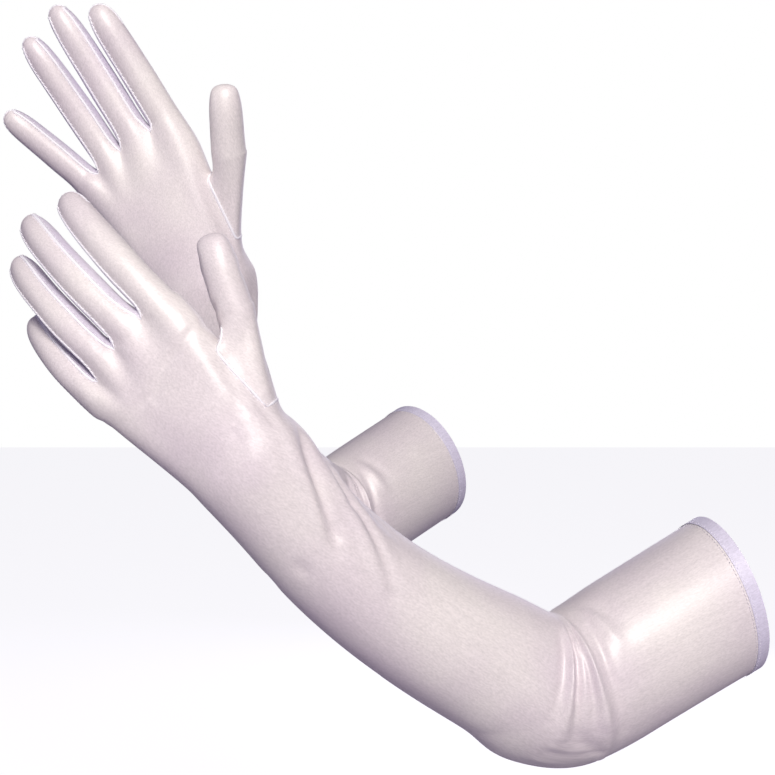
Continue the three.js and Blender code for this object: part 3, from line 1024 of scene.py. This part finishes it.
    @staticmethod
    def chains(edges: list[tuple[int, int]]) -> list[list[int]]:
        """Strings edges together into lines that end where more than two meet.

        Args:
            edges: Pairs of vertex numbers.

        Returns:
            Lines of vertex numbers.
        """
        near: dict[int, list[int]] = {}
        for a, b in edges:
            near.setdefault(a, []).append(b)
            near.setdefault(b, []).append(a)
        left = {frozenset(e) for e in edges}
        lines = []
        starts = [v for v, others in near.items() if len(others) != 2] or [next(iter(near))]
        for start in [*starts, *near]:
            for step in near[start]:
                if frozenset((start, step)) not in left:
                    continue
                line = [start]
                here, ahead = start, step
                while frozenset((here, ahead)) in left:
                    left.discard(frozenset((here, ahead)))
                    line.append(ahead)
                    if len(near[ahead]) != 2:
                        break
                    following = next(v for v in near[ahead] if v != here)
                    here, ahead = ahead, following
                lines.append(line)
        return lines

    def make_seams(self) -> None:
        """Lays a raised edge over each seam and sews stitches along both of its sides."""
        for region, edges in sorted(self.seam_edges().items()):
            ridge, thread = Sewing(self.sizes), Sewing(self.sizes)
            for line in self.chains(edges):
                if len(line) >= self.shortest_seam:
                    ridge.add_ridge(self.skin.co[line], self.skin.normal[line])
                    thread.add_stitches(self.skin.co[line], self.skin.normal[line])
            if region == Region.SLEEVE.value:
                for line in self.chains(self.hem_edges()):
                    normal = self.skin.normal[line]
                    thread.add_stitches(self.skin.co[line] + normal * self.sizes.wall * MM, normal)
            self.place_sewing(Region(region), "seam_edges", ridge)
            self.place_sewing(Region(region), "stitches", thread)

    def place_sewing(self, region: Region, name: str, sewing: "Sewing") -> None:
        """Makes a piece of some gathered sewing, where there is any, and bakes its placement."""
        if not sewing.faces:
            return
        co = np.array(sewing.co)
        # The seam finish's near-white is partly real seam allowance and thread, partly painted highlight.
        material = self.materials[SEAM_EDGE_AND_HIGHLIGHT_SATIN.name]
        piece = new_piece(self.own(f"{region.value}_{name}"), co, sewing.faces, material)
        mark_cloth(piece, self.measure.cloth(co))
        self.bends[region].apply(piece)
        LOG.info("%s: %d faces", piece.name, len(sewing.faces))


@dataclass
class Sewing:
    """Meshes for seam edges and stitches, gathered from many lines.

    Attributes:
        sizes: The cloth's sizes.
        ridge_turns: Corners of a seam edge's section.
        ridge_lift: How far a seam edge's middle stands over the cloth, in millimetres.
        ridge_end: Size of a seam edge at its ends, as a share of its full size.
        thread_turns: Corners of the thread's section.
        stitch_marks: Where along a stitch its sections lie, from 0 to 1.
        stitch_rise: How far each section stands over the cloth, in thread radii.
        stitch_girth: Size of each section, in thread radii.
        co: Vertices so far, in metres.
        faces: Faces so far, as vertex numbers.
    """

    sizes: ClothSizes
    ridge_turns: int = 7
    ridge_lift: float = 0.05
    ridge_end: float = 0.35
    thread_turns: int = 5
    stitch_marks: tuple[float, ...] = (0.0, 0.3, 0.7, 1.0)
    stitch_rise: tuple[float, ...] = (-0.6, 0.7, 0.7, -0.6)
    stitch_girth: tuple[float, ...] = (0.5, 1.0, 1.0, 0.5)
    co: list[list[float]] = field(default_factory=list)
    faces: list[tuple[int, ...]] = field(default_factory=list)

    def tube(
        self, centres: np.ndarray, up: np.ndarray, wide: np.ndarray, half: np.ndarray, turns: int
    ) -> None:
        """Adds a closed tube of oval section.

        Args:
            centres: Points along its middle.
            up: Direction away from the cloth at each point.
            wide: Direction across at each point.
            half: Half width and half height at each point, in metres.
            turns: Corners of the section.
        """
        base = len(self.co)
        angles = np.linspace(0, 2 * math.pi, turns, endpoint=False)
        for centre, u, w, (a, b) in zip(centres, up, wide, half):
            for t in angles:
                self.co.append((centre + w * a * math.cos(t) + u * b * math.sin(t)).tolist())
        for ring in range(len(centres) - 1):
            for i in range(turns):
                j = (i + 1) % turns
                low, high = base + ring * turns, base + (ring + 1) * turns
                self.faces.append((low + i, high + i, high + j, low + j))
        last = base + (len(centres) - 1) * turns
        self.faces.append(tuple(base + i for i in range(turns)))
        self.faces.append(tuple(last + i for i in reversed(range(turns))))

    @staticmethod
    def frames(co: np.ndarray, normal: np.ndarray) -> tuple[np.ndarray, np.ndarray, np.ndarray]:
        """Tangent, across and up directions at each point of a line on the cloth."""
        tangent = np.gradient(co, axis=0)
        tangent /= np.maximum(np.linalg.norm(tangent, axis=1, keepdims=True), 1e-12)
        across = np.cross(tangent, normal)
        across /= np.maximum(np.linalg.norm(across, axis=1, keepdims=True), 1e-12)
        return tangent, across, np.cross(across, tangent)

    @staticmethod
    def smooth(co: np.ndarray) -> np.ndarray:
        """The line with its small corners eased, ends kept."""
        for _ in range(2):
            co = np.vstack([co[:1], (co[:-2] + 2 * co[1:-1] + co[2:]) / 4, co[-1:]])
        return co

    def add_ridge(self, co: np.ndarray, normal: np.ndarray) -> None:
        """Adds the raised edge of a seam along a line."""
        co = self.smooth(co)
        _, across, up = self.frames(co, normal)
        from_start = np.arange(len(co))
        taper = np.clip(np.minimum(from_start, from_start[::-1]) / 2, self.ridge_end, 1)
        half = np.stack([self.sizes.seam_width / 2 * taper, self.sizes.seam_height * taper], 1) * MM
        self.tube(co + up * self.ridge_lift * MM, up, across, half, self.ridge_turns)

    def add_stitches(self, co: np.ndarray, normal: np.ndarray) -> None:
        """Adds a row of stitches on either side of a line.

        Args:
            co: The line's points.
            normal: Directions away from the cloth at them.
        """
        co = self.smooth(co)
        walked = np.concatenate([[0], np.cumsum(np.linalg.norm(np.diff(co, axis=0), axis=1))])
        _, across, up = self.frames(co, normal)
        length, pitch = self.sizes.stitch_length * MM, self.sizes.stitch_pitch * MM
        radius = self.sizes.stitch_radius * MM
        rise = np.array(self.stitch_rise)[:, None] * radius
        half = np.array([self.stitch_girth, self.stitch_girth]).T * radius
        for beside in (-1, 1):
            for begin in np.arange(pitch / 2, walked[-1] - length, pitch):
                marks = begin + np.array(self.stitch_marks) * length
                middle, u, w = (self.sample(marks, walked, values) for values in (co, up, across))
                centres = middle + w * (beside * self.sizes.stitch_beside * MM)
                self.tube(centres + u * rise, u, w, half, self.thread_turns)

    @staticmethod
    def sample(marks: np.ndarray, walked: np.ndarray, values: np.ndarray) -> np.ndarray:
        """Reads values off a line, at distances from its start."""
        return np.stack([np.interp(marks, walked, column) for column in values.T], 1)


# ---- Folds, in the arm's own measures ------------------------------------------------------------

ELBOW_FOLDS = (
    Fold(((17, 340), (15, 318), (12, 292), (9, 267), (5, 248), (1, 226)), 3.2, 2.8),
    Fold(((22, 330), (20, 310), (18, 285), (15, 262), (11, 240)), -1.6, 3.2),
    Fold(((8, 308), (7, 290), (5, 268), (2, 247), (-3, 220)), -3.0, 3.0),
    Fold(((9, 354), (2, 324), (-4, 300), (-8, 279), (-10, 259), (-9, 238), (-4, 208)), 3.4, 3.2),
    Fold(((0, 304), (-3, 288), (-5, 266), (-5, 242)), -1.6, 2.2),
    Fold(((-10, 330), (-15, 304), (-18, 272), (-17, 232)), -2.0, 3.6),
    Fold(((-14, 345), (-24, 322), (-30, 300)), 1.4, 3.6),
    Fold(((-20, 348), (-30, 330), (-38, 312)), -1.0, 3.6),
    Fold(((11, 340), (8, 322), (6, 306)), 1.6, 1.8),
    Fold(((24, 346), (24, 330), (22, 316)), 1.2, 2.6),
    Fold(((30, 205), (12, 192), (0, 180), (12, 168), (30, 155)), 3.4, 17.0),
)
FOREARM_FOLDS = (
    Fold(((218, 346), (208, 325), (195, 303), (180, 275), (164, 250)), -2.6, 3.2),
    Fold(((226, 330), (210, 308), (194, 284), (178, 258)), 2.2, 4.6),
    Fold(((200, 352), (184, 332), (167, 312), (154, 291), (140, 267), (126, 248)), -2.8, 3.2),
    Fold(((206, 336), (184, 316), (166, 296), (150, 274), (134, 252)), 2.4, 4.6),
    Fold(((190, 352), (174, 330), (158, 308), (146, 288), (134, 268)), 1.2, 3.6),
    Fold(((184, 6), (168, 350), (150, 330), (134, 310)), -1.4, 4.0),
    Fold(((266, 348), (254, 330), (243, 300), (230, 274)), -1.5, 4.6),
    Fold(((262, 338), (250, 320), (238, 292), (224, 266)), 1.0, 4.6),
    Fold(((268, 352), (255, 345), (243, 337), (230, 326)), -1.5, 2.8),
    Fold(((262, 346), (248, 338), (236, 328)), 1.2, 3.0),
)
HAND_FOLDS = (
    Fold(((250, 350), (225, 352), (200, 354), (175, 356)), 4.0, 17.0),
    Fold(((318, 66), (313, 40), (309, 20), (304, 6)), -0.9, 2.6),
    Fold(((314, 66), (309, 40), (305, 20), (300, 8)), 0.5, 2.6),
    Fold(((292, 348), (289, 353), (285, 2), (280, 12)), -0.9, 2.4),
    Fold(((296, 350), (293, 355), (289, 4)), 0.5, 2.4),
)
LEFT_FOLDS = ELBOW_FOLDS + FOREARM_FOLDS + HAND_FOLDS
FOREARM_HOLLOW = Fold(((60, 0), (100, 0), (150, 0), (200, 0)), -6.0, 26.0)
RIGHT_FOLDS = (*ELBOW_FOLDS, *FOREARM_FOLDS[:5], FOREARM_HOLLOW)


# ---- Camera, light and floor ---------------------------------------------------------------------


@dataclass(frozen=True)
class SoftLight:
    """A square soft light that faces the gloves."""

    name: str
    place: tuple[float, float, float]
    size: float
    power: float
    colour: str

    def add(self, target: Vector) -> None:
        """Adds the light, turned towards a place."""
        data = bpy.data.lights.new(self.name, "AREA")
        data.size = self.size
        data.energy = self.power
        data.color = linear(self.colour)[:3]
        light = bpy.data.objects.new(self.name, data)
        light.location = self.place
        light.rotation_euler = (target - Vector(self.place)).to_track_quat("-Z", "Y").to_euler()
        bpy.context.scene.collection.objects.link(light)


@dataclass(frozen=True)
class Studio:
    """Plain white studio with a soft light from above and in front.

    Attributes:
        camera_place: The camera's place, looking along +Y.
        lens_mm: Focal length on a 36 mm wide sensor.
        lights: The soft lights.
        lit_place: Where they point.
        air_colour: Colour of the light from all round.
        air_strength: Its strength.
        floor_drop: How far the floor lies under the gloves.
        floor_half: Half the floor's width.
        floor_colour: Its colour.
        floor_glow: How brightly it shows to the camera, so that it stays pale.
    """

    camera_place: tuple[float, float, float] = (-0.2015, -0.8094, 0.1228)
    lens_mm: float = 63.0
    lights: tuple[SoftLight, ...] = (
        SoftLight("key", (0.15, -2.35, 1.2), size=0.8, power=66.0, colour="fffaf2"),
        SoftLight("left_fill", (-1.6, -0.9, 0.3), size=1.2, power=2.0, colour="ece4ff"),
        SoftLight("back_fill", (0.4, 1.9, 0.7), size=1.4, power=9.0, colour="f3eeff"),
    )
    lit_place: tuple[float, float, float] = (-0.2, 0.0, 0.1)
    air_colour: str = "cdc2f2"
    air_strength: float = 0.17
    floor_drop: float = 0.35
    floor_half: float = 12.0
    floor_colour: str = "a9a3b2"
    floor_glow: float = 0.87

    def build(self, low: Vector) -> None:
        """Sets up the camera, the lights, the world and the floor.

        Args:
            low: Lowest corner of the object.
        """
        self.add_camera()
        for light in self.lights:
            light.add(Vector(self.lit_place))
        self.add_world()
        self.add_floor(low.z - self.floor_drop)

    def add_camera(self) -> None:
        """Adds the camera, level and looking along +Y."""
        scene = bpy.context.scene
        data = bpy.data.cameras.new("camera")
        data.lens = self.lens_mm
        data.sensor_width = 36.0
        data.clip_end = 30.0
        camera = bpy.data.objects.new("camera", data)
        camera.location = self.camera_place
        camera.rotation_euler = (math.pi / 2, 0.0, 0.0)
        scene.collection.objects.link(camera)
        scene.camera = camera
        scene.view_settings.view_transform = "Standard"

    def add_world(self) -> None:
        """Adds faint lilac light from all round, behind which the camera sees plain white."""
        world = bpy.data.worlds.new("studio")
        world.use_nodes = True
        tree = world.node_tree
        air = tree.nodes["Background"]
        air.inputs["Color"].default_value = linear(self.air_colour)
        air.inputs["Strength"].default_value = self.air_strength
        backdrop = add_node(tree, "ShaderNodeBackground", Color=linear("ffffff"), Strength=1.0)
        path = add_node(tree, "ShaderNodeLightPath")
        seen = add_node(
            tree,
            "ShaderNodeMixShader",
            Fac=path.outputs["Is Camera Ray"],
            i1=air.outputs[0],
            i2=backdrop.outputs[0],
        )
        tree.links.new(seen.outputs[0], tree.nodes["World Output"].inputs["Surface"])
        bpy.context.scene.world = world

    def add_floor(self, height: float) -> None:
        """Adds a wide pale floor below the gloves."""
        half = self.floor_half
        turns = ((-half, -half), (half, -half), (half, half), (-half, half))
        corners = np.array([(x, y, height) for x, y in turns])
        material = bpy.data.materials.new("pale_floor")
        material.use_nodes = True
        tree = material.node_tree
        shader = tree.nodes["Principled BSDF"]
        shader.inputs["Base Color"].default_value = linear(self.floor_colour)
        shader.inputs["Roughness"].default_value = 0.9
        shader.inputs["Emission Color"].default_value = linear("ffffff")
        seen = add_node(tree, "ShaderNodeLightPath").outputs["Is Camera Ray"]
        glow = add_node(tree, "ShaderNodeMath", {"operation": "MULTIPLY"}, i0=seen, i1=self.floor_glow)
        tree.links.new(glow.outputs[0], shader.inputs["Emission Strength"])
        new_piece("floor", corners, [(0, 1, 2, 3)], material)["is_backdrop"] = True


def main() -> None:
    """Builds both gloves and the studio around them."""
    logging.basicConfig(level=logging.INFO, format="%(name)s %(message)s")
    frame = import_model()
    cad_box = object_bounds()
    materials = {finish.name: finish.make() for finish in FINISHES}
    for side, folds in ((Side.LEFT, LEFT_FOLDS), (Side.RIGHT, RIGHT_FOLDS)):
        Glove(side, frame, folds, materials).build()
    Studio().build(Vector(cad_box[0]))


if __name__ == "__main__":
    main()
